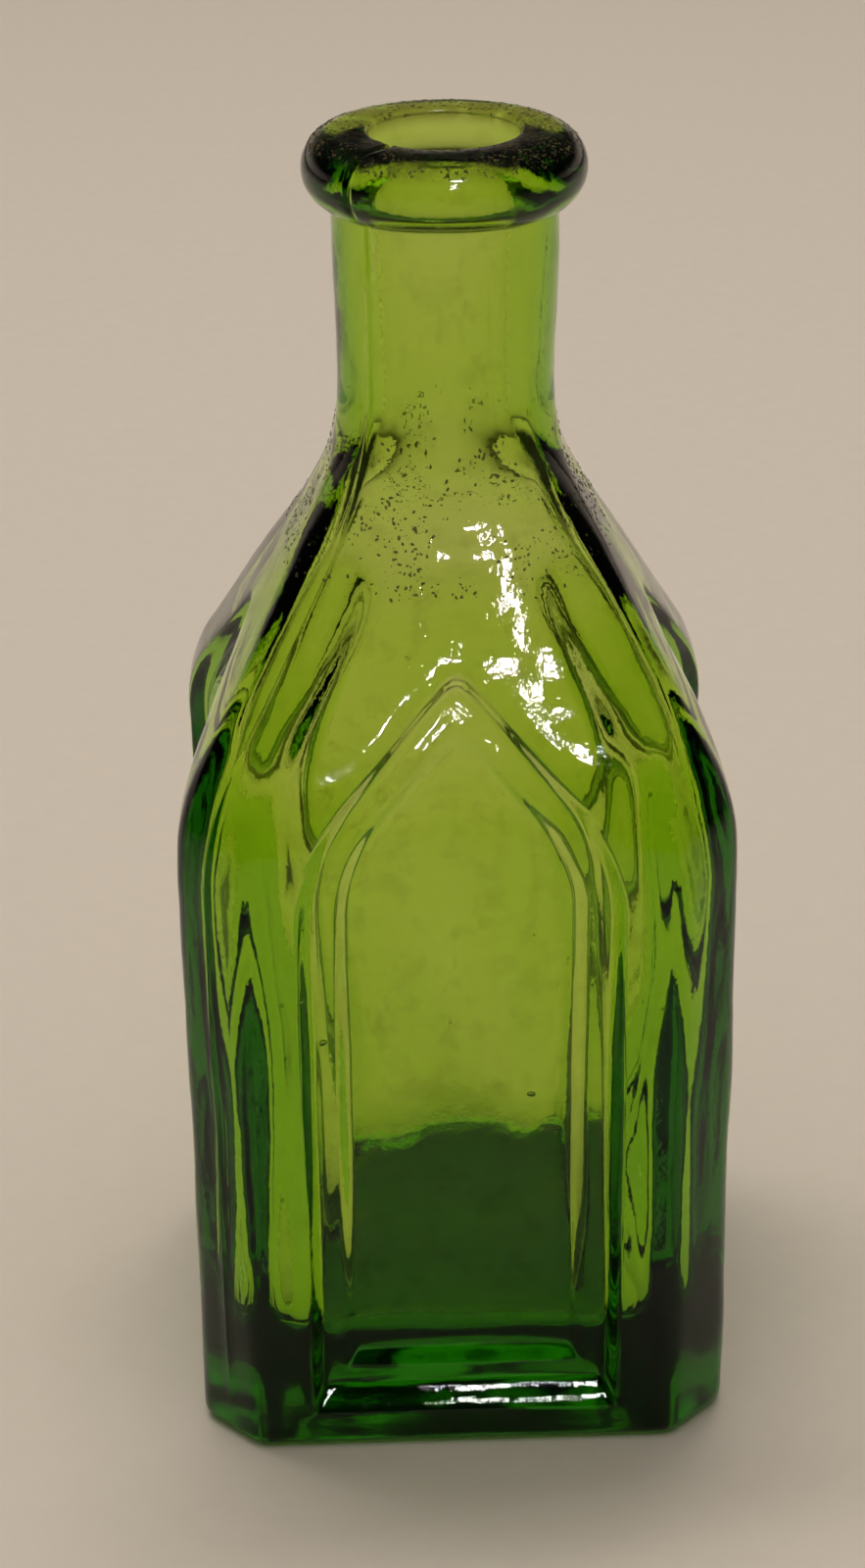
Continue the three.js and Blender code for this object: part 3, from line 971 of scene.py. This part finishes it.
def build_floor():
    """A broad round sheet of paper just under the bottle."""
    angles = np.arange(FLOOR_SIDES) * 2 * math.pi / FLOOR_SIDES
    rim = np.stack([np.cos(angles), np.sin(angles)], axis=1) * FLOOR_RADIUS
    points = np.concatenate([rim, np.full((FLOOR_SIDES, 1), -FLOOR_DROP)], axis=1)
    mesh = bpy.data.meshes.new("paper_floor")
    mesh.from_pydata(points.tolist(), [], [list(range(FLOOR_SIDES))])
    floor = put("paper_floor", mesh)
    mesh.materials.append(pale_paper())


def build_room():
    """Pale low wall behind the bottle, a dim room above and in front."""
    world = bpy.data.worlds.new("studio")
    bpy.context.scene.world = world
    world.use_nodes = True
    bench = Bench(world.node_tree)
    heading = bench.node("ShaderNodeTexCoord", output="Generated")
    behind = bench.part_of(heading, "Y")
    up = bench.part_of(heading, "Z")
    wall = behind.ramp(*WALL_TURN) * (1 - up.ramp(*WALL_TOP))
    colour = bench.colour_mix(wall, DIM_ROOM, PALE_WALL)
    light = bench.node("ShaderNodeBackground", {}, {"Color": colour, "Strength": 1.0})
    bench.node("ShaderNodeOutputWorld", {}, {"Surface": light})


def build_lamp(name, place, size, power, colour):
    """An oblong soft lamp that shines straight down; size is its width and its other side."""
    data = bpy.data.lights.new(name, "AREA")
    data.shape = "RECTANGLE"
    data.size, data.size_y = size
    data.energy = power
    data.color = colour
    lamp = put(name, data)
    lamp.location = place
    return lamp


def aim_lamp(lamp, roll=0.0):
    """Turns a lamp to the bottle, and by roll about its own axis."""
    lamp.rotation_mode = "QUATERNION"
    aim = (LAMP_TARGET - lamp.location).to_track_quat("-Z", "Y")
    lamp.rotation_quaternion = aim @ Quaternion((0, 0, 1), roll)


def build_window(name, place, size, power, roll=0.0):
    """An oval window that only glints on the glass."""
    lamp = build_lamp(name, place, size, power, COOL)
    lamp.data.shape = "ELLIPSE"
    lamp.visible_diffuse = False
    lamp.visible_transmission = False
    aim_lamp(lamp, roll)


def build_lamps():
    """A broad ceiling glow and a key lamp light the room, and five windows in front glint on the glass."""
    ceiling = build_lamp("ceiling_glow", place=(-0.05, 0.0, 0.9), size=(1.5, 1.5), power=6.8, colour=WARM)
    ceiling.visible_glossy = False
    key = build_lamp("key_lamp", place=(-0.06, 0.22, 0.9), size=(0.6, 0.16), power=4.0, colour=WARM)
    key.visible_glossy = False
    key.visible_transmission = False
    aim_lamp(key)
    build_window("high_window", place=(0.08, -0.44, 0.66), size=(0.12, 0.085), power=1.8)
    build_window("tall_window", place=(0.05, -0.6, 0.5), size=(0.028, 0.12), power=0.6)
    build_window("middle_window", place=(0.068, -0.55, 0.54), size=(0.07, 0.02), power=0.4, roll=SLANT)
    build_window("low_window", place=(0.097, -0.64, 0.447), size=(0.05, 0.03), power=0.45, roll=SLANT)
    build_window("small_window", place=(0.025, -0.655, 0.43), size=(0.028, 0.03), power=0.25)


def build_camera():
    """The photograph's viewpoint."""
    data = bpy.data.cameras.new("photo_camera")
    data.sensor_width = SENSOR
    data.lens = FOCAL_PIXELS / IMAGE_LONG_SIDE * SENSOR
    data.clip_start = CLIP_START
    data.clip_end = CLIP_END
    camera = put("photo_camera", data)
    camera.location = CAMERA_PLACE
    camera.rotation_mode = "QUATERNION"
    aim = CAMERA_AIM.to_track_quat("-Z", "Y")
    camera.rotation_quaternion = aim @ Quaternion((0, 0, 1), CAMERA_ROLL)
    bpy.context.scene.camera = camera


bpy.context.scene.view_settings.view_transform = "Standard"
build_camera()
skin = build_bottle()
lumps = scatter_tree()
build_dirt(skin, lumps)
build_seeds(lumps)
build_floor()
build_room()
build_lamps()
